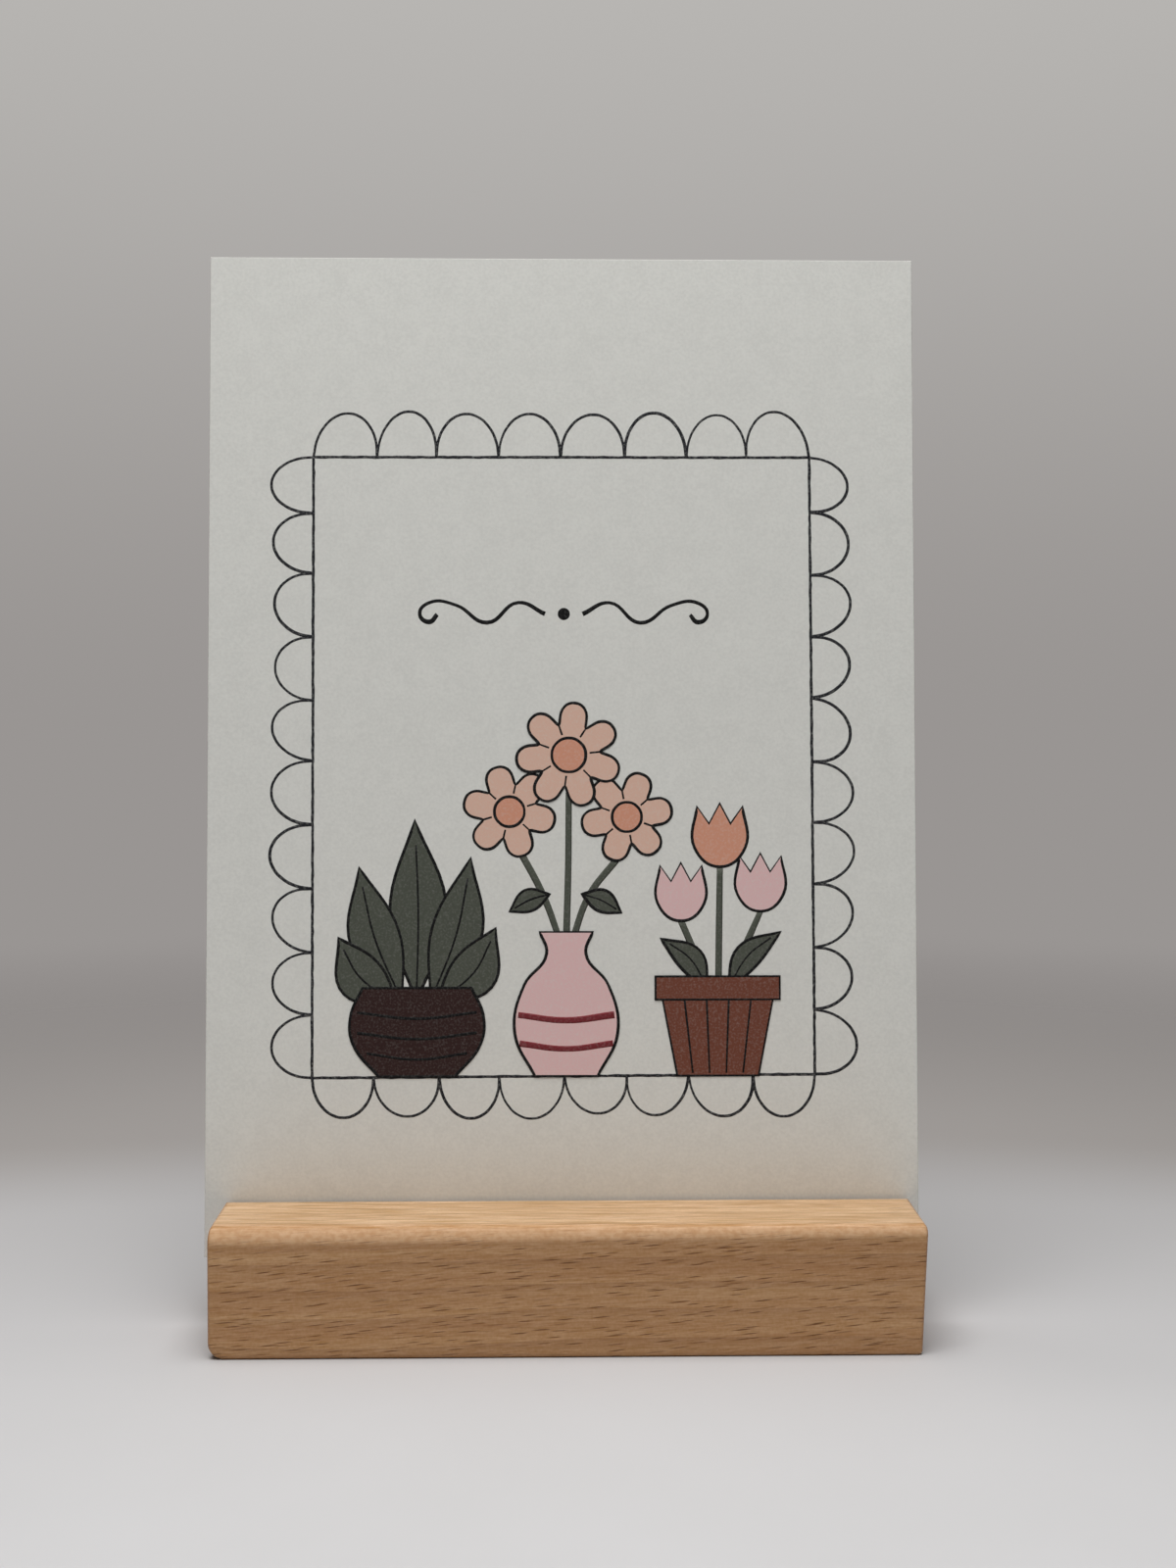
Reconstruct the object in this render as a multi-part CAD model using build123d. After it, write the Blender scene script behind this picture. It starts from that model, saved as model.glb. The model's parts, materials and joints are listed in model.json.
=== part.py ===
from build123d import *
import os
from math import atan2, cos, degrees, sin

# A postcard that stands in the saw cut of a beech bar, in millimetres.
# X runs along the bar, Y from its front to its back, Z up; the origin is the middle of the underside.

# Card: an A6 sheet of heavy board, square cut
CARD_WIDTH = 105.0
CARD_HEIGHT = 148.0
CARD_THICKNESS = 0.4

# Bar: one piece of beech, its grain along the length
BLOCK_LENGTH = 100.0
BLOCK_DEPTH = 30.0
BLOCK_HEIGHT = 18.0
TOP_EDGE_RADIUS = 2.0
BOTTOM_EDGE_RADIUS = 0.6
END_TOP_RADIUS = 0.5
END_FOOT_RADIUS = 1.3
END_SIDE_RADIUS = 0.8

# Slot: one upright saw cut through the whole length, open at both ends
SLOT_SETBACK = 15.0
SLOT_DEPTH = 8.2
SLOT_PLAY = 0.55
SLOT_LIP = 0.15

# Seat: the card stands on the slot's floor and tips back in the play until the rear lip stops it
FLOOR_CLEARANCE = 0.05
WALL_CLEARANCE = 0.03
CARD_OFFSET = -0.8

slot_width = CARD_THICKNESS + SLOT_PLAY
slot_y = SLOT_SETBACK - BLOCK_DEPTH / 2
slot_floor_z = BLOCK_HEIGHT - SLOT_DEPTH
foot_z = slot_floor_z + FLOOR_CLEARANCE
rear_stop_z = BLOCK_HEIGHT - SLOT_LIP
lean = atan2(SLOT_PLAY - 2 * WALL_CLEARANCE, rear_stop_z - foot_z)


def standing_outline(plane, width, upper_radius, lower_radius):
    """An upright view of the bar on its base line, with its upper and its lower corners rounded."""
    with BuildSketch(plane) as outline:
        Rectangle(width, BLOCK_HEIGHT, align=(Align.CENTER, Align.MIN))
        fillet(outline.vertices().group_by(Axis.Y)[-1], upper_radius)
        fillet(outline.vertices().group_by(Axis.Y)[0], lower_radius)
    return outline.sketch


def plan_outline():
    """The bar seen from above, with the sharpness taken off its four upright corners."""
    with BuildSketch(Plane.XY) as outline:
        RectangleRounded(BLOCK_LENGTH, BLOCK_DEPTH, END_SIDE_RADIUS)
    return outline.sketch


def holder_block():
    """The bar: what its three views have in common, less the slot with its sanded lips."""
    with BuildPart() as block:
        extrude(standing_outline(Plane.YZ, BLOCK_DEPTH, TOP_EDGE_RADIUS, BOTTOM_EDGE_RADIUS),
                BLOCK_LENGTH / 2, both=True)
        extrude(standing_outline(Plane.XZ, BLOCK_LENGTH, END_TOP_RADIUS, END_FOOT_RADIUS),
                BLOCK_DEPTH / 2, both=True, mode=Mode.INTERSECT)
        extrude(plan_outline(), BLOCK_HEIGHT, mode=Mode.INTERSECT)
        with Locations((0, slot_y, slot_floor_z)):
            Box(BLOCK_LENGTH, slot_width, SLOT_DEPTH, align=(Align.CENTER, Align.CENTER, Align.MIN),
                mode=Mode.SUBTRACT)
        mouth = block.edges().filter_by(Axis.X).group_by(Axis.Z)[-1]
        chamfer(mouth.filter_by_position(Axis.Y, slot_y - slot_width, slot_y + slot_width), SLOT_LIP)
    return block.part


def postcard():
    """The sheet, tipped back by the lean about its front lower edge, its rear lower edge on the floor."""
    sheet = Box(CARD_WIDTH, CARD_THICKNESS, CARD_HEIGHT, align=(Align.CENTER, Align.MIN, Align.MIN))
    front_y = slot_y - slot_width / 2 + WALL_CLEARANCE
    front_z = foot_z + CARD_THICKNESS * sin(lean)
    return Pos(CARD_OFFSET, front_y, front_z) * Rot(-degrees(lean), 0, 0) * sheet


os.makedirs("parts", exist_ok=True)
export_step(holder_block(), "parts/holder_block.step")
export_step(postcard(), "parts/postcard.step")
print("lean", round(degrees(lean), 3), "lift axis", 0.0, round(sin(lean), 6), round(cos(lean), 6))
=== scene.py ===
import json
import math
import random

import bmesh
import bpy
from mathutils import Matrix, Vector


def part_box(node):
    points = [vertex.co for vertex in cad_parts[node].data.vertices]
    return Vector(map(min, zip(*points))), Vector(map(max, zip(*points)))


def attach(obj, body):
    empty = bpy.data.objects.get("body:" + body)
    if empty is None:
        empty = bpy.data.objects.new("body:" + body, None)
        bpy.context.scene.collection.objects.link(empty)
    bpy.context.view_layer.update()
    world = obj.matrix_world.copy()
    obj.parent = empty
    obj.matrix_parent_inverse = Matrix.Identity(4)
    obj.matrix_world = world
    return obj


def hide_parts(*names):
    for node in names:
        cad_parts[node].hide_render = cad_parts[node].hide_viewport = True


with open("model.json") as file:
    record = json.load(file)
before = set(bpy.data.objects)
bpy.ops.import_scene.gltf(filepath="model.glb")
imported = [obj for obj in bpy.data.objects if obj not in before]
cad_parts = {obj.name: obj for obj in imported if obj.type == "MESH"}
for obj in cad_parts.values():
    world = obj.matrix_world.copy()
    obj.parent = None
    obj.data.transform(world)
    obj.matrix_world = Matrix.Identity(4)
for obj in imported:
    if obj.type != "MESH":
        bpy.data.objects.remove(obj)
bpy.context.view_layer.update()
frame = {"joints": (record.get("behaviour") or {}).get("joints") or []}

# A printed card standing in the saw cut of a beech bar.
# Sizes are in millimetres unless a comment says otherwise.
MM = 0.001
hand = random.Random(11)

# The card's own frame: u from its left edge, v from its lower edge, h out of its printed face.
# Its sizes are worked back from the box that the tipped card fills.
card_low, card_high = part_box("postcard")
RISE = Vector(frame["joints"][0]["axis"]).normalized()
ACROSS = Vector((1, 0, 0))
OUT = ACROSS.cross(RISE)
tip_back, upright = RISE.y, RISE.z
card_span = (card_high - card_low) / MM
determinant = upright ** 2 - tip_back ** 2
CARD_WIDTH = card_span.x
CARD_HEIGHT = (card_span.z * upright - card_span.y * tip_back) / determinant
CARD_THICKNESS = (card_span.y * upright - card_span.z * tip_back) / determinant
card_corner = card_low + Vector((0, 0, CARD_THICKNESS * tip_back * MM))
CARD_FRAME = (Matrix.Translation(card_corner) @ Matrix((ACROSS, RISE, OUT)).transposed().to_4x4()
              @ Matrix.Scale(MM, 4))
CUT_EDGE_EASE = 0.09

# The bar and its saw cut; its right end, feet and round-overs are uneven, as on the photographed one
block_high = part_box("holder_block")[1]
HALF_LENGTH, HALF_DEPTH, BLOCK_HEIGHT = block_high / MM
SLOT_HALF, SLOT_FLOOR, SLOT_LIP = 0.475, 9.8, 0.15
LEFT_ROUND_OVER, RIGHT_ROUND_OVER, RIM_ROUND = 2.4, 1.5, 0.6
LEFT_FOOT_ROUND, RIGHT_FOOT_ROUND, RIGHT_END_SLANT = 2.2, 0.6, 0.77

# The scalloped line border, measured on the card's face; drawn by hand, it is not quite square
LOW_LEFT, LOW_RIGHT = Vector((15.6, 26.05)), Vector((89.75, 26.35))
HIGH_LEFT, HIGH_RIGHT = Vector((15.45, 118.0)), Vector((89.4, 118.15))
SCALLOPS_ACROSS, SCALLOPS_UP = 8, 10
SCALLOP_TOP, SCALLOP_FOOT, SCALLOP_SIDE = 6.7, 5.9, 6.0
TOPMOST_SHARE = 0.91

# The drawing inside the border stands on the border's lower line
MIDDLE, GROUND = (LOW_LEFT + LOW_RIGHT) / 2

# Widths of pen and brush lines
BORDER_LINE, SCALLOP_LINE, OUTLINE, FINE_LINE = 0.42, 0.42, 0.42, 0.28
BRUSH_LINE, FLOURISH_LINE, POSTAL_RULE = 0.95, 0.6, 0.3

# The unsteady hand: the sway of a rule in millimetres, all else as shares
RULE_SWAY = 0.03
JOINT_STRAY, SCALLOP_LEAN, SCALLOP_REACH = 0.03, 0.12, (0.93, 1.05)
PRESS_AT_START, PRESS_AT_END = (0.70, 1.10), (0.85, 1.20)
PEN_WAVER, ARC_WAVER, FLOURISH_WAVER = 0.14, 0.06, 0.25

# Ink lies on the board as a thin film; what is drawn over it lies a step higher
FILM, STEP = 0.010, 0.012

# Inks as they look on this board
LINE_INK, PEN_BLACK = "#222328", "#0A0A0C"
PEACH, SALMON = "#EBC3AF", "#E2A186"
LEAF_GREEN, BARK_BROWN = "#54584E", "#36211F"
BLUSH, RUST, BERRY = "#F0C9C8", "#7A4737", "#7E2C33"
POST_GREY = "#A9A9A6"

# Each ink's name, and how much of the board its specks let through
INKS = {LINE_INK: ("lines", 0.22), PEN_BLACK: ("pen_black", 0.06), PEACH: ("peach", 0.25),
        SALMON: ("salmon", 0.22), LEAF_GREEN: ("leaf_green", 0.10), BARK_BROWN: ("bark_brown", 0.07),
        BLUSH: ("blush", 0.30), RUST: ("rust", 0.12), BERRY: ("berry", 0.10),
        POST_GREY: ("writing_rules", 0.30)}


# Materials

def linear(code):
    """An sRGB hex colour as the linear RGBA that a shader takes."""
    parts = [int(code[i:i + 2], 16) / 255 for i in (1, 3, 5)]
    return [p / 12.92 if p <= 0.04045 else ((p + 0.055) / 1.055) ** 2.4 for p in parts] + [1.0]


def add(tree, kind, inputs, **settings):
    """Adds a node with its settings; each input is a value or another node's output."""
    made = tree.nodes.new(kind)
    for name, value in settings.items():
        setattr(made, name, value)
    for name, value in inputs.items():
        if isinstance(value, bpy.types.NodeSocket):
            tree.links.new(value, made.inputs[name])
        else:
            made.inputs[name].default_value = value
    return made.outputs


def begin(name):
    """A material with its shader, and the piece's own coordinates in millimetres."""
    material = bpy.data.materials.new(name)
    material.use_nodes = True
    tree = material.node_tree
    coords = add(tree, "ShaderNodeTexCoord", {})["Object"]
    place = add(tree, "ShaderNodeVectorMath", {0: coords, 1: (MM, MM, MM)}, operation="DIVIDE")[0]
    return material, tree, tree.nodes["Principled BSDF"], place


def beech_sanded():
    """Beech, sawn, sanded and lightly oiled: warm tan with long soft bands, short dark ray flecks along
    the grain, silky fibre, a fine grit left by sanding, pale mottled round-overs and darker end grain; it
    has a low satin shine, and a painted sheen pales its flat top."""
    saw_turn = (math.radians(-60), math.radians(0.4), math.radians(-0.7))
    heart_distance, ring_width = 75.0, 1.9
    sway_size, band_size, line_size = (60, 15, 15), (150, 1.8, 1.8), (11, 0.6, 0.6)
    fibre_size, scuff_size, grit_size = (2.6, 0.22, 0.22), (0.9, 0.7, 0.7), 0.38
    fleck_length, fleck_width, fleck_slip = 5.0, 0.40, -0.62
    fibre_slope = math.radians(1.8)
    top_from, top_full = BLOCK_HEIGHT - 1.2, BLOCK_HEIGHT - 0.1
    end_from, end_full = HALF_LENGTH - 0.35, HALF_LENGTH - 0.05
    # The last share is for the painted sheen on the flat top
    late_share, fleck_share, fuzz_share, painted_sheen_share = 0.40, 0.92, 0.68, 0.21
    material, tree, shader, place = begin("beech_sanded")
    axis = add(tree, "ShaderNodeSeparateXYZ", {"Vector": place})
    turned = add(tree, "ShaderNodeMapping", {"Vector": place, "Rotation": saw_turn})[0]

    # The grain wanders across by a millimetre or so
    slow = add(tree, "ShaderNodeVectorMath", {0: turned, 1: sway_size}, operation="DIVIDE")[0]
    wander = add(tree, "ShaderNodeTexNoise", {"Vector": slow, "Scale": 1.0, "Detail": 1.5})["Color"]
    sway = add(tree, "ShaderNodeVectorMath", {0: wander, 1: (0, 2.6, 2.0), 2: (0, -1.3, -1.0)},
               operation="MULTIPLY_ADD")[0]
    grain = add(tree, "ShaderNodeVectorMath", {0: turned, 1: sway}, operation="ADD")[0]

    # Growth rings round a heart that lies outside the bar
    from_heart = add(tree, "ShaderNodeVectorMath", {0: grain, 1: (0, 1, 1), 2: (0, 0, heart_distance)},
                     operation="MULTIPLY_ADD")[0]
    radius = add(tree, "ShaderNodeVectorMath", {0: from_heart}, operation="LENGTH")["Value"]
    count = add(tree, "ShaderNodeMath", {0: radius, 1: ring_width}, operation="DIVIDE")[0]
    ring = add(tree, "ShaderNodeMath", {0: count}, operation="FRACT")[0]
    latewood = add(tree, "ShaderNodeMath", {0: ring, 1: 3.0}, operation="POWER")[0]

    # Long bands, fibre and fine lines
    bands = add(tree, "ShaderNodeVectorMath", {0: grain, 1: band_size}, operation="DIVIDE")[0]
    streak = add(tree, "ShaderNodeTexNoise", {"Vector": bands, "Scale": 1.0, "Detail": 3.0})["Fac"]
    sloping = add(tree, "ShaderNodeMapping", {"Vector": grain, "Rotation": (0, 0, -fibre_slope)})[0]
    threads = add(tree, "ShaderNodeVectorMath", {0: sloping, 1: fibre_size}, operation="DIVIDE")[0]
    fibre = add(tree, "ShaderNodeTexNoise", {"Vector": threads, "Scale": 1.0, "Detail": 2.0})["Fac"]
    lines = add(tree, "ShaderNodeVectorMath", {0: grain, 1: line_size}, operation="DIVIDE")[0]
    line = add(tree, "ShaderNodeTexNoise", {"Vector": lines, "Scale": 1.0, "Detail": 2.0})["Fac"]

    # Ray flecks: spindles in sloping rows, of uneven girth, some of them left out
    row_step = (0, 1 / fleck_width, 0)
    along_step = (1 / fleck_length, fleck_slip / fleck_width, 0)
    row = add(tree, "ShaderNodeVectorMath", {0: sloping, 1: row_step}, operation="DOT_PRODUCT")["Value"]
    along = add(tree, "ShaderNodeVectorMath", {0: sloping, 1: along_step}, operation="DOT_PRODUCT")["Value"]
    cells = add(tree, "ShaderNodeCombineXYZ", {"X": along, "Y": row})[0]
    rays = add(tree, "ShaderNodeTexVoronoi", {"Vector": cells, "Scale": 1.0}, voronoi_dimensions="2D")
    lot = add(tree, "ShaderNodeSeparateColor", {"Color": rays["Color"]})
    girth = add(tree, "ShaderNodeMapRange", {"Value": lot[1], "To Min": 0.19, "To Max": 0.36})[0]
    spindle = add(tree, "ShaderNodeMapRange", {
        "Value": rays["Distance"], "From Min": 0.08, "From Max": girth, "To Min": 1.0, "To Max": 0.0},
        interpolation_type="SMOOTHSTEP")[0]
    chosen = add(tree, "ShaderNodeMapRange", {"Value": lot[0], "From Min": 0.25, "From Max": 0.85})[0]

    # Flecks are fainter on the top and on the ends, of which the right one slants
    top = add(tree, "ShaderNodeMapRange", {
        "Value": axis["Z"], "From Min": top_from, "From Max": top_full})[0]
    missing = add(tree, "ShaderNodeMath", {0: axis["Z"], 1: -RIGHT_END_SLANT / BLOCK_HEIGHT,
                                           2: RIGHT_END_SLANT}, operation="MULTIPLY_ADD")[0]
    on_right = add(tree, "ShaderNodeMath", {0: axis["X"], 1: 0.0}, operation="GREATER_THAN")[0]
    from_middle = add(tree, "ShaderNodeMath", {0: axis["X"]}, operation="ABSOLUTE")[0]
    reach = add(tree, "ShaderNodeMath", {0: missing, 1: on_right, 2: from_middle},
                operation="MULTIPLY_ADD")[0]
    end = add(tree, "ShaderNodeMapRange", {"Value": reach, "From Min": end_from, "From Max": end_full})[0]
    faint = add(tree, "ShaderNodeMath", {0: top, 1: end}, operation="MAXIMUM")[0]
    fewer = add(tree, "ShaderNodeMapRange", {"Value": faint, "To Min": 1.0, "To Max": 0.4})[0]
    seen = add(tree, "ShaderNodeMath", {0: chosen, 1: fewer}, operation="MULTIPLY")[0]
    fleck = add(tree, "ShaderNodeMath", {0: spindle, 1: seen}, operation="MULTIPLY")[0]

    # Colour: soft bands and rings, broken by fibre, lines and grit, then the flecks
    palest = add(tree, "ShaderNodeMapRange", {"Value": top, "To Min": 0.90, "To Max": 1.60})[0]
    darkest = add(tree, "ShaderNodeMapRange", {"Value": top, "To Min": 0.10, "To Max": -0.60})[0]
    band = add(tree, "ShaderNodeMapRange", {
        "Value": streak, "From Min": darkest, "From Max": palest})[0]
    tan = add(tree, "ShaderNodeMix", {"Factor": band, 6: linear("#A87243"), 7: linear("#DDB280")},
              data_type="RGBA")[2]
    late = add(tree, "ShaderNodeMath", {0: latewood, 1: late_share}, operation="MULTIPLY")[0]
    ringed = add(tree, "ShaderNodeMix", {"Factor": late, 6: tan, 7: linear("#9B6E46")},
                 data_type="RGBA")[2]
    silk = add(tree, "ShaderNodeMapRange", {"Value": fibre, "From Min": 0.25, "From Max": 0.75,
                                            "To Min": 0.79, "To Max": 1.15})[0]
    least = add(tree, "ShaderNodeMapRange", {"Value": top, "To Min": 0.95, "To Max": 0.50})[0]
    most = add(tree, "ShaderNodeMapRange", {"Value": top, "To Min": 1.05, "To Max": 1.50})[0]
    lined = add(tree, "ShaderNodeMapRange", {"Value": line, "From Min": 0.3, "From Max": 0.7,
                                             "To Min": least, "To Max": most})[0]
    sandy = add(tree, "ShaderNodeTexNoise", {"Vector": place, "Scale": 1 / grit_size, "Detail": 1.0})["Fac"]
    grit = add(tree, "ShaderNodeMapRange", {"Value": sandy, "From Min": 0.3, "From Max": 0.7,
                                            "To Min": 0.93, "To Max": 1.07})[0]
    streaky = add(tree, "ShaderNodeMath", {0: silk, 1: lined}, operation="MULTIPLY")[0]
    grained = add(tree, "ShaderNodeMath", {0: streaky, 1: grit}, operation="MULTIPLY")[0]
    warmer = add(tree, "ShaderNodeVectorMath", {0: grained, 1: (0.65, 1.0, 1.9), 2: (0.35, 0, -0.9)},
                 operation="MULTIPLY_ADD")[0]
    silky = add(tree, "ShaderNodeVectorMath", {0: ringed, 1: warmer}, operation="MULTIPLY")[0]
    dark = add(tree, "ShaderNodeMath", {0: fleck, 1: fleck_share}, operation="MULTIPLY")[0]
    flecked = add(tree, "ShaderNodeMix", {"Factor": dark, 6: silky, 7: linear("#6E4012")},
                  data_type="RGBA")[2]

    # Places on the round-overs, measured in the radius there: fuzzy and mottled
    tapered = add(tree, "ShaderNodeMapRange", {
        "Value": axis["X"], "From Min": -HALF_LENGTH, "From Max": HALF_LENGTH,
        "To Min": LEFT_ROUND_OVER, "To Max": RIGHT_ROUND_OVER})[0]
    outer = add(tree, "ShaderNodeMath", {0: axis["Y"]}, operation="ABSOLUTE")[0]
    inward = add(tree, "ShaderNodeMath", {0: HALF_DEPTH, 1: outer}, operation="SUBTRACT")[0]
    inset = add(tree, "ShaderNodeMath", {0: inward, 1: tapered}, operation="DIVIDE")[0]
    downward = add(tree, "ShaderNodeMath", {0: BLOCK_HEIGHT, 1: axis["Z"]}, operation="SUBTRACT")[0]
    drop = add(tree, "ShaderNodeMath", {0: downward, 1: tapered}, operation="DIVIDE")[0]
    toward_side = add(tree, "ShaderNodeMapRange", {"Value": inset, "From Min": 1.1, "From Max": 0.3})[0]
    toward_top = add(tree, "ShaderNodeMapRange", {"Value": drop, "From Min": 1.1, "From Max": 0.7})[0]
    rounded = add(tree, "ShaderNodeMath", {0: toward_side, 1: toward_top}, operation="MULTIPLY")[0]
    scuffs = add(tree, "ShaderNodeVectorMath", {0: place, 1: scuff_size}, operation="DIVIDE")[0]
    mottle = add(tree, "ShaderNodeTexNoise", {"Vector": scuffs, "Scale": 1.0, "Detail": 3.0})["Fac"]
    spotted = add(tree, "ShaderNodeMapRange", {"Value": mottle, "From Min": 0.36, "From Max": 0.64})[0]
    fuzzy = add(tree, "ShaderNodeMix", {"Factor": spotted, 6: linear("#C69B72"), 7: linear("#D6B18C")},
                data_type="RGBA")[2]
    fuzz = add(tree, "ShaderNodeMath", {0: rounded, 1: fuzz_share}, operation="MULTIPLY")[0]
    sanded = add(tree, "ShaderNodeMix", {"Factor": fuzz, 6: flecked, 7: fuzzy}, data_type="RGBA")[2]

    # A painted sheen, as from light glancing off it, pales the flat top a little, and the ends drink more
    # oil
    sheen_reach = add(tree, "ShaderNodeMapRange", {"Value": inset, "From Min": 1.6, "From Max": 0.8,
                                               "To Min": painted_sheen_share, "To Max": 0.0})[0]
    painted_sheen = add(tree, "ShaderNodeMapRange", {"Value": drop, "From Min": 1.0, "From Max": 0.05,
                                              "To Max": sheen_reach})[0]
    sheen_painted = add(tree, "ShaderNodeMix", {"Factor": painted_sheen, 6: sanded, 7: linear("#F3E1BE")},
                  data_type="RGBA")[2]
    thirsty = add(tree, "ShaderNodeMix", {"Factor": end, 6: sheen_painted, 7: linear("#E3CDB4")},
                  data_type="RGBA", blend_type="MULTIPLY")[2]
    tree.links.new(thirsty, shader.inputs["Base Color"])

    # Satin fibre, dull round-overs, and pores a little sunk
    sheen = add(tree, "ShaderNodeMapRange", {"Value": fibre, "From Min": 0.25, "From Max": 0.75,
                                             "To Min": 0.40, "To Max": 0.28})[0]
    duller = add(tree, "ShaderNodeMix", {"Factor": rounded, "A": sheen, "B": 0.85})["Result"]
    tree.links.new(duller, shader.inputs["Roughness"])
    relief = add(tree, "ShaderNodeMath", {0: fibre, 1: fleck}, operation="SUBTRACT")[0]
    bump = add(tree, "ShaderNodeBump", {"Height": relief, "Strength": 0.5, "Distance": 0.05 * MM})[0]
    tree.links.new(bump, shader.inputs["Normal"])
    return material


def uncoated_board(name, colour):
    """Uncoated off-white board, calendered: dead matt, with a faint cloudiness and a fine felt tooth."""
    cloud_size, tooth_size = 3.5, 0.45
    material, tree, shader, place = begin(name)
    cloud = add(tree, "ShaderNodeTexNoise", {"Vector": place, "Scale": 1 / cloud_size, "Detail": 3.0})["Fac"]
    tooth = add(tree, "ShaderNodeTexNoise", {"Vector": place, "Scale": 1 / tooth_size, "Detail": 2.0})["Fac"]
    both = add(tree, "ShaderNodeMath", {0: tooth, 1: 2.0, 2: cloud}, operation="MULTIPLY_ADD")[0]
    shade = add(tree, "ShaderNodeMapRange", {"Value": both, "From Min": 1.1, "From Max": 1.9,
                                             "To Min": 0.955, "To Max": 1.03})[0]
    base = add(tree, "ShaderNodeVectorMath", {0: linear(colour)[:3], "Scale": shade},
               operation="SCALE")[0]
    tree.links.new(base, shader.inputs["Base Color"])
    rough = add(tree, "ShaderNodeMapRange", {"Value": tooth, "To Min": 0.84, "To Max": 0.98})[0]
    tree.links.new(rough, shader.inputs["Roughness"])
    shader.inputs["Specular IOR Level"].default_value = 0.2
    bump = add(tree, "ShaderNodeBump", {"Height": tooth, "Strength": 0.35, "Distance": 0.03 * MM})[0]
    tree.links.new(bump, shader.inputs["Normal"])
    return material


def printed_ink(name, colour, bare):
    """Matt ink soaked into the board: its colour, broken by the tooth, where specks of board show."""
    tooth_size = 0.30
    material, tree, shader, place = begin(name)
    tooth = add(tree, "ShaderNodeTexNoise", {"Vector": place, "Scale": 1 / tooth_size, "Detail": 2.0})["Fac"]
    speck = add(tree, "ShaderNodeMapRange", {"Value": tooth, "From Min": 0.48, "From Max": 0.78,
                                             "To Max": bare})[0]
    base = add(tree, "ShaderNodeMix", {"Factor": speck, 6: linear(colour), 7: linear("#E8E8E2")},
               data_type="RGBA")[2]
    tree.links.new(base, shader.inputs["Base Color"])
    rough = add(tree, "ShaderNodeMapRange", {"Value": tooth, "To Min": 0.72, "To Max": 0.92})[0]
    tree.links.new(rough, shader.inputs["Roughness"])
    shader.inputs["Specular IOR Level"].default_value = 0.25
    bump = add(tree, "ShaderNodeBump", {"Height": tooth, "Strength": 0.3, "Distance": 0.02 * MM})[0]
    tree.links.new(bump, shader.inputs["Normal"])
    return material


def studio_paper():
    """Graded studio paper: pale in front of the object, darkened by painted shade from just in front of it
    to behind it, with a painted grey further back that stands in for a shaded backdrop; it thins out far off
    so that it runs evenly into the room; matt and faintly cloudy."""
    cloud_size, ahead_point, fade_point = 40, (0, -400, 0), (0, -75, 0)
    material, tree, shader, place = begin("studio_paper")
    cloud = add(tree, "ShaderNodeTexNoise", {"Vector": place, "Scale": 1 / cloud_size, "Detail": 3.0})["Fac"]
    pale = add(tree, "ShaderNodeMix", {"Factor": cloud, 6: linear("#CAC9C9"), 7: linear("#D0CFD0")},
               data_type="RGBA")[2]
    # Painted shade: the paper darkens from just in front of the object to behind it, as the light falls off
    ahead = add(tree, "ShaderNodeVectorMath", {0: place, 1: ahead_point}, operation="DISTANCE")["Value"]
    painted_falloff = add(tree, "ShaderNodeMapRange", {"Value": ahead, "From Min": 330.0, "From Max": 480.0})[0]
    falloff_shaded = add(tree, "ShaderNodeMix", {"Factor": painted_falloff, 6: pale, 7: linear("#BDBBBB")},
                data_type="RGBA")[2]
    # Further back, a painted grey stands in for the shaded backdrop behind the object
    behind = add(tree, "ShaderNodeMapRange", {"Value": ahead, "From Min": 464.0, "From Max": 526.0},
                 interpolation_type="SMOOTHSTEP")[0]
    base = add(tree, "ShaderNodeMix", {"Factor": behind, 6: falloff_shaded, 7: linear("#A8A3A0")},
               data_type="RGBA")[2]
    tree.links.new(base, shader.inputs["Base Color"])
    away = add(tree, "ShaderNodeVectorMath", {0: place, 1: fade_point}, operation="DISTANCE")["Value"]
    thin = add(tree, "ShaderNodeMapRange", {
        "Value": away, "From Min": 170.0, "From Max": 600.0, "To Min": 1.0, "To Max": 0.0},
        interpolation_type="SMOOTHSTEP")[0]
    tree.links.new(thin, shader.inputs["Alpha"])
    shader.inputs["Roughness"].default_value = 0.9
    shader.inputs["Specular IOR Level"].default_value = 0.2
    return material


# Making pieces

def shade_rounds(bm, mesh):
    """Keeps flats flat beside smooth rounds: a corner takes the normals near its own, weighed by area."""
    limit = math.radians(40)
    bm.normal_update()
    normals = []
    for face in bm.faces:
        face.smooth = True
        for corner in face.loops:
            near = [f for f in corner.vert.link_faces if f.normal.angle(face.normal) < limit]
            normals.append(sum((f.normal * f.calc_area() for f in near), Vector()).normalized())
    bm.to_mesh(mesh)
    mesh.normals_split_custom_set(normals)


def piece(name, bm, materials, rounded=False):
    """A finished mesh, already in its place, as an object of the scene."""
    mesh = bpy.data.meshes.new(name)
    if rounded:
        shade_rounds(bm, mesh)
    else:
        bm.to_mesh(mesh)
    bm.free()
    for material in materials:
        mesh.materials.append(material)
    made = bpy.data.objects.new(name, mesh)
    bpy.context.scene.collection.objects.link(made)
    return made


def card_piece(name, bm, materials, rounded=False):
    """A piece drawn in the card's frame, which rides on the card."""
    bm.transform(CARD_FRAME)
    made = piece(name, bm, materials, rounded)
    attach(made, "card")
    return made


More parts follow.
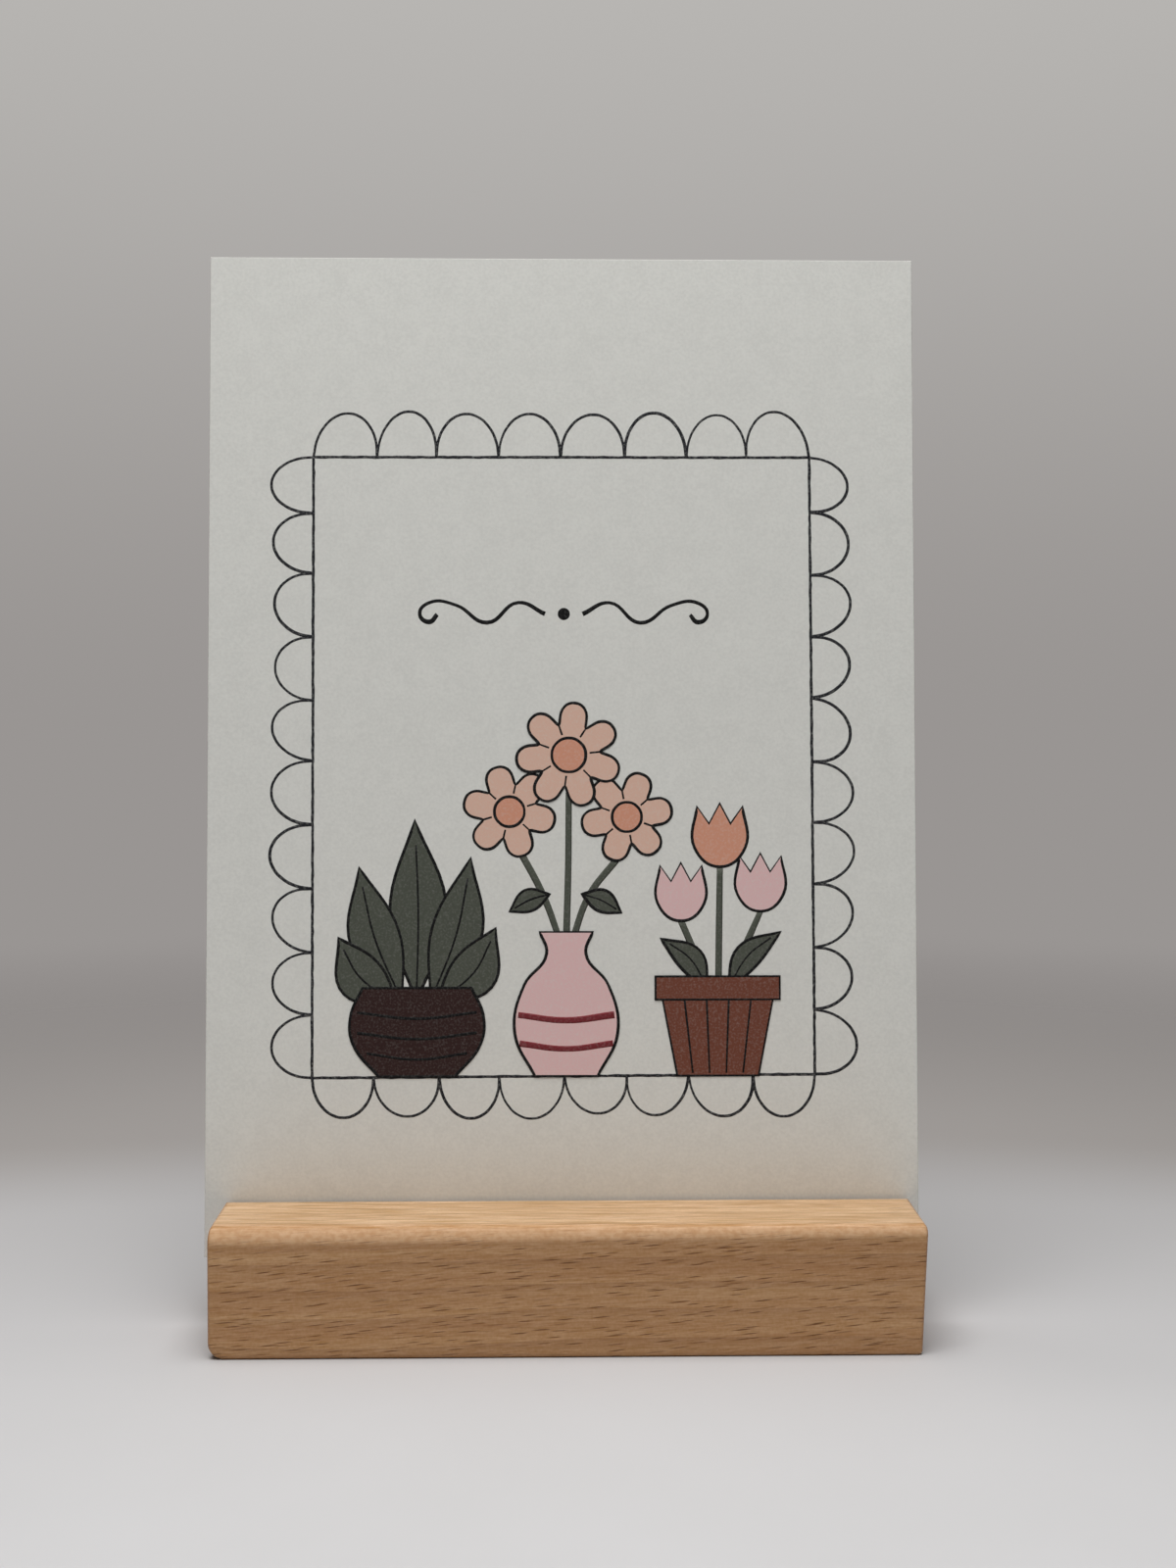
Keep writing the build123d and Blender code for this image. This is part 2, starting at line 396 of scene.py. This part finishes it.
def postcard_sheet():
    """The sheet of board: its edges are pressed a little round by the guillotine and show its core."""
    bm = bmesh.new()
    bmesh.ops.create_cube(bm, size=1.0)
    bmesh.ops.translate(bm, verts=bm.verts, vec=(0.5, 0.5, -0.5))
    bmesh.ops.scale(bm, verts=bm.verts, vec=(CARD_WIDTH, CARD_HEIGHT, CARD_THICKNESS))
    bmesh.ops.bevel(bm, geom=bm.edges[:], offset=CUT_EDGE_EASE, affect="EDGES", segments=3, profile=0.5,
                    material=-1)
    for face in bm.faces:
        face.material_index = 0 if abs(face.normal.z) > 0.99 else 1
    boards = [uncoated_board("board_face", "#EDEDE7"), uncoated_board("board_cut_edge", "#DDDDD6")]
    sheet = card_piece("postcard_sheet", bm, boards, rounded=True)
    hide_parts("postcard")


def holder_bar():
    """The bar: a slotted prism whose long edges, foot ends and rims are rounded as by a sander."""
    hair = 0.01
    bm = bmesh.new()
    outline = [(-HALF_DEPTH, 0), (HALF_DEPTH, 0), (HALF_DEPTH, BLOCK_HEIGHT), (SLOT_HALF, BLOCK_HEIGHT),
               (SLOT_HALF, SLOT_FLOOR), (-SLOT_HALF, SLOT_FLOOR), (-SLOT_HALF, BLOCK_HEIGHT),
               (-HALF_DEPTH, BLOCK_HEIGHT)]
    end = bm.faces.new([bm.verts.new((-HALF_LENGTH, y, z)) for y, z in outline])
    swept = bmesh.ops.extrude_face_region(bm, geom=[end])["geom"]
    bmesh.ops.translate(bm, verts=[g for g in swept if isinstance(g, bmesh.types.BMVert)],
                        vec=(2 * HALF_LENGTH, 0, 0))
    bmesh.ops.recalc_face_normals(bm, faces=bm.faces)

    def soften(chosen, radius, segments):
        """Rounds the edges that are chosen by their middle and by the edge itself."""
        picked = [e for e in bm.edges if chosen((e.verts[0].co + e.verts[1].co) / 2, e)]
        bmesh.ops.bevel(bm, geom=picked, offset=radius, affect="EDGES", segments=segments, profile=0.5,
                        material=-1)

    # The feet of the ends, then the long upper edges
    soften(lambda mid, e: mid.z < hair and mid.x < hair - HALF_LENGTH, LEFT_FOOT_ROUND, 8)
    soften(lambda mid, e: mid.z < hair and mid.x > HALF_LENGTH - hair, RIGHT_FOOT_ROUND, 6)
    soften(lambda mid, e: mid.z > BLOCK_HEIGHT - hair and abs(mid.y) > HALF_DEPTH - hair,
           LEFT_ROUND_OVER, 12)

    # The round-overs get smaller toward the right end
    smaller = RIGHT_ROUND_OVER / LEFT_ROUND_OVER
    for vert in bm.verts:
        inward, downward = HALF_DEPTH - abs(vert.co.y), BLOCK_HEIGHT - vert.co.z
        if vert.co.x > 0 and max(inward, downward) < LEFT_ROUND_OVER + hair:
            vert.co.y = math.copysign(HALF_DEPTH - inward * smaller, vert.co.y)
            vert.co.z = BLOCK_HEIGHT - downward * smaller

    # The slot's lips, then the sharp rims that are left
    soften(lambda mid, e: mid.z > BLOCK_HEIGHT - hair and abs(abs(mid.y) - SLOT_HALF) < hair
           and abs(mid.x) < hair, SLOT_LIP, 2)
    soften(lambda mid, e: abs(mid.y) > SLOT_HALF + SLOT_LIP + hair
           and e.calc_face_angle() > math.radians(60), RIM_ROUND, 5)

    # The right end is sawn out of square
    for vert in bm.verts:
        if vert.co.x > 0:
            vert.co.x -= RIGHT_END_SLANT * (1 - vert.co.z / BLOCK_HEIGHT)
    bm.transform(Matrix.Scale(MM, 4))
    bar = piece("holder_bar", bm, [beech_sanded()], rounded=True)
    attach(bar, "holder")
    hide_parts("holder_block")


# Drawing, in the card's frame; each ink gathers its lines and areas in a mesh of its own

inks = {colour: bmesh.new() for colour in INKS}


def height_of(level):
    """How far the ink of a level stands out of the card's face."""
    return FILM + STEP * level


def add_spline(curve, points, corners, closed, waver, pressure=(1.0, 1.0)):
    """A smooth line through points, with sharp turns at the corners; the pen's pressure changes evenly
    from one end to the other and wavers a little."""
    spline = curve.splines.new("BEZIER")
    spline.bezier_points.add(len(points) - 1)
    for i, (spot, point) in enumerate(zip(spline.bezier_points, points)):
        spot.co = (point[0], point[1], 0)
        spot.handle_left_type = spot.handle_right_type = "VECTOR" if i in corners else "AUTO"
        press = pressure[0] + (pressure[1] - pressure[0]) * i / (len(points) - 1)
        spot.radius = press * hand.uniform(1 - waver, 1 + waver)
    spline.use_cyclic_u = closed


def lay_down(ink, curve, flatten, height):
    """Turns a drawn curve into a closed thin film at a height over the card, and adds it to an ink."""
    holder = bpy.data.objects.new(curve.name, curve)
    bpy.context.scene.collection.objects.link(holder)
    drawn = holder.evaluated_get(bpy.context.evaluated_depsgraph_get())
    mesh = bpy.data.meshes.new_from_object(drawn)
    mesh.transform(Matrix.Translation((0, 0, height)) @ Matrix.Scale(flatten, 4, (0, 0, 1)))
    inks[ink].from_mesh(mesh)
    bpy.data.objects.remove(holder)
    bpy.data.curves.remove(curve)
    bpy.data.meshes.remove(mesh)


def stroke(ink, points, width, height, corners=(), closed=False, waver=PEN_WAVER, pressure=(1.0, 1.0)):
    """A pen line: a round bead along the points, pressed flat into a film."""
    curve = bpy.data.curves.new("stroke", "CURVE")
    curve.dimensions = "3D"
    curve.resolution_u = 8
    curve.bevel_depth = width / 2
    curve.bevel_resolution = 1
    curve.use_fill_caps = True
    add_spline(curve, points, corners, closed, waver, pressure)
    lay_down(ink, curve, FILM / width, height)


def wash(ink, points, height, corners=()):
    """A flat area of one ink inside a closed outline."""
    curve = bpy.data.curves.new("wash", "CURVE")
    curve.dimensions = "2D"
    curve.fill_mode = "BOTH"
    curve.resolution_u = 8
    curve.extrude = FILM / 2
    add_spline(curve, points, corners, True, 0)
    lay_down(ink, curve, 1.0, height - FILM / 2)


def shape(ink, points, level, corners=()):
    """An area of ink with its pen outline."""
    wash(ink, points, height_of(level), corners)
    stroke(PEN_BLACK, points, OUTLINE, height_of(level), corners, closed=True)


def ring_of(centre, radius, steps):
    """Points round a circle."""
    return [(centre[0] + radius * math.cos(math.tau * i / steps),
             centre[1] + radius * math.sin(math.tau * i / steps)) for i in range(steps)]


def scallop(start, end, reach, outward):
    """One arc of the border, from one point of its line to the next, drawn by hand: it leans, and the pen
    presses harder at one end."""
    steps = 8
    half = (end - start) / 2
    crest = Vector(outward) * reach * hand.uniform(*SCALLOP_REACH)
    crest += half * hand.uniform(-SCALLOP_LEAN, SCALLOP_LEAN)
    arc = [start + half - half * math.cos(a) + crest * math.sin(a)
           for a in [math.pi * i / steps for i in range(steps + 1)]]
    pressure = (hand.uniform(*PRESS_AT_START), hand.uniform(*PRESS_AT_END))
    stroke(LINE_INK, arc, SCALLOP_LINE, height_of(0), waver=ARC_WAVER, pressure=pressure)


def ruled_line(ink, start, end, width, height, steps, sway=0.0):
    """A long straight line; one that is drawn by hand sways a little."""
    start, end = Vector(start), Vector(end)
    side = (end - start).orthogonal().normalized()
    points = [start.lerp(end, i / steps) + side * hand.uniform(-sway, sway) for i in range(steps + 1)]
    stroke(ink, points, width, height)


def border():
    """A ruled rectangle with a row of scallops outside each side; the topmost one of a column came out
    shorter."""
    steps_each = 12
    sides = [(LOW_LEFT, LOW_RIGHT, SCALLOPS_ACROSS, SCALLOP_FOOT, (0, -1), 1.0),
             (HIGH_RIGHT, LOW_RIGHT, SCALLOPS_UP, SCALLOP_SIDE, (1, 0), TOPMOST_SHARE),
             (HIGH_LEFT, HIGH_RIGHT, SCALLOPS_ACROSS, SCALLOP_TOP, (0, 1), 1.0),
             (HIGH_LEFT, LOW_LEFT, SCALLOPS_UP, SCALLOP_SIDE, (-1, 0), TOPMOST_SHARE)]
    for start, end, count, reach, outward, first in sides:
        ruled_line(LINE_INK, start, end, BORDER_LINE, height_of(0), steps_each * count, sway=RULE_SWAY)
        pitch = (count - first) / (count - 1)
        inner = [first + pitch * k + hand.uniform(-JOINT_STRAY, JOINT_STRAY) for k in range(count - 1)]
        joints = [start.lerp(end, spot / count) for spot in [0] + inner + [count]]
        for a, b in zip(joints, joints[1:]):
            scallop(a, b, reach, outward)


def pot(ink, centre, profile, level):
    """A pot on the ground line, the same on both sides; its profile holds half widths and heights."""
    right = [(centre + w, GROUND + h) for w, h in profile]
    left = [(centre - w, GROUND + h) for w, h in reversed(profile)]
    last = len(profile) - 1
    shape(ink, right + left, level, corners=(0, last, last + 1, 2 * last + 1))


def hoop(ink, centre, height, reach, sag, width, level):
    """A line round a pot, which sags in its middle, where it comes forward."""
    line = [(centre - reach, GROUND + height), (centre, GROUND + height - sag),
            (centre + reach, GROUND + height)]
    stroke(ink, line, width, height_of(level))


def leaf(base, tip, width, bend, level):
    """A leaf from its base to its tip, bowed to one side, with its rib."""
    belly_at, rib_end, rib_bow = 0.48, 0.86, 0.4
    base, tip = Vector(base), Vector(tip)
    along = tip - base
    side = Vector((-along.y, along.x)).normalized()
    belly = base + along * belly_at + side * bend
    outline = [base, belly - side * width / 2, tip, belly + side * width / 2]
    rib = [base, belly, base.lerp(tip, rib_end) + side * bend * rib_bow]
    shape(LEAF_GREEN, outline, level, corners=(0, 2))
    stroke(PEN_BLACK, rib, FINE_LINE, height_of(level))


def blossom(centre, radius, petals, turn, level):
    """An open flower with round petals and a darker eye; a petal's points hold turns and radii."""
    petal = ((0.0, 0.62), (0.26, 0.97), (0.5, 1.05), (0.74, 0.97))
    folds, eye = (0.62, 0.5, 0.42), 0.34
    outline = []
    for i in range(petals):
        for offset, reach in petal:
            angle = turn + math.tau * (i + offset) / petals
            outline.append((centre[0] + radius * reach * math.cos(angle),
                            centre[1] + radius * reach * math.sin(angle)))
    shape(PEACH, outline, level, corners=range(0, len(outline), len(petal)))
    for i in range(petals):
        fold = turn + math.tau * i / petals
        line = [(centre[0] + radius * r * math.cos(fold), centre[1] + radius * r * math.sin(fold))
                for r in folds]
        stroke(PEN_BLACK, line, FINE_LINE, height_of(level))
    shape(SALMON, ring_of(centre, radius * eye, 8), level + 1)


def tulip(foot, size, ink, level):
    """A closed cup of three petals on the end of its stem."""
    cup = [(0, 0), (0.40, 0.30), (0.36, 0.95), (0.17, 0.68), (0, 1.0), (-0.17, 0.68), (-0.36, 0.95),
           (-0.40, 0.30)]
    outline = [(foot[0] + size * x, foot[1] + size * y) for x, y in cup]
    shape(ink, outline, level, corners=(2, 3, 4, 5, 6))


def stem(points):
    """A bare green stem."""
    stroke(LEAF_GREEN, points, BRUSH_LINE, height_of(0))


def leafy_bowl():
    """Left: a broad-leaved plant in a round dark bowl with throwing lines."""
    at, rim, gather, sag = 31.0, GROUND + 11.0, 0.25, 0.9
    leaves = (((30.6, 64.0), 8.4, -0.4), ((22.4, 57.0), 7.4, 1.0), ((38.9, 58.4), 7.4, -1.0),
              ((19.4, 46.6), 6.8, 1.6), ((42.6, 48.0), 6.8, -1.6))
    bowl = [(5.6, 0), (9.4, 4.8), (9.8, 8.8), (8.0, 13.0)]
    bowl_level = len(leaves) + 1
    for i, (tip, width, bend) in enumerate(leaves):
        leaf((at + (tip[0] - at) * gather, rim), tip, width, bend, i + 1)
    pot(BARK_BROWN, at, bowl, bowl_level)
    for height, reach in ((3.4, 7.4), (6.4, 8.8), (9.4, 8.8)):
        hoop(PEN_BLACK, at, height, reach, sag, OUTLINE, bowl_level)


def flower_vase():
    """Middle: three open flowers in a waisted vase with two painted bands."""
    at, mouth, sag, vase_level = 53.0, GROUND + 20.6, 0.8, 7
    vase = [(4.6, 0), (7.6, 6.4), (6.2, 13.4), (2.9, 18.0), (3.9, 21.2)]
    stem([(at - 0.8, mouth - 1), (at - 3.4, mouth + 6), (45.8, 60.0)])
    stem([(at, mouth - 1), (at + 0.3, mouth + 10), (53.4, 68.0)])
    stem([(at + 0.8, mouth - 1), (at + 3.4, mouth + 6), (60.4, 58.0)])
    leaf((50.6, 53.0), (44.6, 50.4), 3.2, -0.4, 1)
    leaf((55.3, 53.0), (61.2, 50.2), 3.2, 0.4, 1)
    blossom((44.6, 65.2), 6.5, 6, 0.3, 1)
    blossom((62.0, 64.4), 6.4, 6, 0.7, 3)
    blossom((53.4, 73.6), 7.4, 7, 0.1, 5)
    pot(BLUSH, at, vase, vase_level)
    for height, reach in ((4.8, 6.9), (9.0, 7.1)):
        hoop(BERRY, at, height, reach, sag, BRUSH_LINE, vase_level)


def tulip_pot():
    """Right: three tulips in a flower pot with a thick rim and fluted sides."""
    at, soil, gather, spread = 75.4, GROUND + 12.6, 0.25, 0.6
    heads = (((70.0, 49.0), 8.6, BLUSH), ((75.8, 57.0), 9.4, SALMON), ((81.8, 50.4), 8.6, BLUSH))
    sides = [(6.0, 0), (8.2, 11.4)]
    flute_foot, flute_head = (6.2, GROUND + 0.4), (8.2, GROUND + 11.2)
    rim_half, rim_low, rim_high = 9.2, GROUND + 11.2, GROUND + 14.6
    for foot, size, ink in heads:
        aside = foot[0] - at
        stem([(at + aside * gather, soil), (at + aside * spread, (soil + foot[1]) / 2), foot])
        tulip(foot, size, ink, 1)
    leaf((at - 1.5, soil), (67.0, 46.4), 3.8, -1.2, 3)
    leaf((at + 1.5, soil), (84.8, 47.4), 3.8, 1.2, 3)
    pot(RUST, at, sides, 5)
    for share in (-0.6, -0.2, 0.2, 0.6):
        flute = [(at + share * half, v) for half, v in (flute_foot, flute_head)]
        stroke(PEN_BLACK, flute, FINE_LINE, height_of(5))
    band = [(at + rim_half, rim_low), (at + rim_half, rim_high), (at - rim_half, rim_high),
            (at - rim_half, rim_low)]
    shape(RUST, band, 7, corners=range(4))


def flourish():
    """A pen flourish above the drawing: a wave each side of a dot, curling in at its end."""
    level_v, dot = 94.6, 0.9
    wave = [(2.8, 0.0), (6.8, 1.7), (11.4, -1.3), (16.0, 1.3), (19.9, 1.7), (21.4, 0.0), (20.0, -1.2),
            (18.8, -0.1)]
    for side in (-1, 1):
        line = [(MIDDLE + side * x, level_v + y) for x, y in wave]
        stroke(PEN_BLACK, line, FLOURISH_LINE, height_of(0), waver=FLOURISH_WAVER)
    wash(PEN_BLACK, ring_of((MIDDLE, level_v), dot, 6), height_of(0))


def writing_side():
    """The back, laid out lengthwise: a middle rule, four address rules and a frame for the stamp."""
    behind = -CARD_THICKNESS - FILM / 2
    margin, middle = 10, CARD_HEIGHT / 2
    first_address, address_pitch, address_start, address_end = 20, 12, 84, 138
    stamp = [(70, 117), (96, 117), (96, 139), (70, 139)]
    ruled_line(POST_GREY, (margin, middle), (CARD_WIDTH - margin, middle), POSTAL_RULE, behind, 8)
    for i in range(4):
        u = first_address + address_pitch * i
        ruled_line(POST_GREY, (u, address_start), (u, address_end), POSTAL_RULE, behind, 6)
    for a, b in zip(stamp, stamp[1:] + stamp[:1]):
        ruled_line(POST_GREY, a, b, POSTAL_RULE, behind, 3)


def card_print():
    """All that is printed on the card, one piece for each ink."""
    border()
    leafy_bowl()
    flower_vase()
    tulip_pot()
    flourish()
    writing_side()
    for colour, (name, bare) in INKS.items():
        bm = inks[colour]
        bmesh.ops.remove_doubles(bm, verts=bm.verts, dist=FILM / 20)
        bmesh.ops.recalc_face_normals(bm, faces=bm.faces)
        card_piece("print_" + name, bm, [printed_ink("ink_" + name, colour, bare)])


# Stage, light and camera, in metres

def studio_floor():
    """A wide round of studio paper under the object."""
    floor_radius = 0.7
    bm = bmesh.new()
    bmesh.ops.create_circle(bm, cap_ends=True, segments=96, radius=floor_radius)
    piece("studio_floor", bm, [studio_paper()])


def softbox(name, place, aim, size, watts):
    """A square soft light at a place, turned to a point."""
    lamp = bpy.data.lights.new(name, "AREA")
    lamp.size = size
    lamp.energy = watts
    holder = bpy.data.objects.new(name, lamp)
    holder.location = place
    holder.rotation_euler = (Vector(aim) - Vector(place)).to_track_quat("-Z", "Y").to_euler()
    bpy.context.scene.collection.objects.link(holder)


def studio_light():
    """One large soft light overhead, a little in front and to the left, in a dim pale room. The room is
    brighter low behind the card, to light the card's back; the camera sees all of it at one strength."""
    place, aim, size, watts = (-0.025, -0.09, 0.55), (0, -0.02, 0.02), 0.40, 3.53
    dim, bright = 0.12, 1.3
    softbox("overhead", place, aim, size, watts)
    world = bpy.data.worlds.new("room")
    bpy.context.scene.world = world
    world.use_nodes = True
    tree = world.node_tree
    toward = add(tree, "ShaderNodeTexCoord", {})["Generated"]
    axis = add(tree, "ShaderNodeSeparateXYZ", {"Vector": toward})
    upward = add(tree, "ShaderNodeMapRange", {"Value": axis["Z"], "From Max": 0.5},
                 interpolation_type="SMOOTHSTEP")[0]
    # The camera sees this colour as a backdrop with painted shading, darker low and paler high as if lit
    # from above; the same colour lights the scene
    room_and_painted_backdrop = add(tree, "ShaderNodeMix", {"Factor": upward, 6: linear("#999593"), 7: linear("#BBB9B6")},
               data_type="RGBA")[2]
    tree.links.new(room_and_painted_backdrop, tree.nodes["Background"].inputs["Color"])
    shown = add(tree, "ShaderNodeLightPath", {})["Is Camera Ray"]
    backward = add(tree, "ShaderNodeMapRange", {"Value": axis["Y"], "From Min": 0.2, "To Max": bright})[0]
    low = add(tree, "ShaderNodeMapRange", {"Value": upward, "To Min": 1.0, "To Max": 0.0})[0]
    glow = add(tree, "ShaderNodeMath", {0: backward, 1: low, 2: dim}, operation="MULTIPLY_ADD")[0]
    strength = add(tree, "ShaderNodeMapRange", {"Value": shown, "To Min": glow, "To Max": 1.0})[0]
    tree.links.new(strength, tree.nodes["Background"].inputs["Strength"])


def photo_camera():
    """The camera where the photograph was taken from, as fitted to the card's and the bar's edges."""
    place = Vector((-1.9, -248.7, 86.0)) * MM
    yaw, pitch = math.radians(-1.10), math.radians(-1.58)
    data = bpy.data.cameras.new("photo_camera")
    data.lens = 39.1
    data.sensor_width = 36.0
    data.clip_start = 0.01
    holder = bpy.data.objects.new("photo_camera", data)
    holder.location = place
    holder.rotation_euler = (math.pi / 2 + pitch, 0, yaw)
    bpy.context.scene.collection.objects.link(holder)
    bpy.context.scene.camera = holder


postcard_sheet()
card_print()
holder_bar()
studio_floor()
studio_light()
photo_camera()
bpy.context.scene.view_settings.view_transform = "Standard"
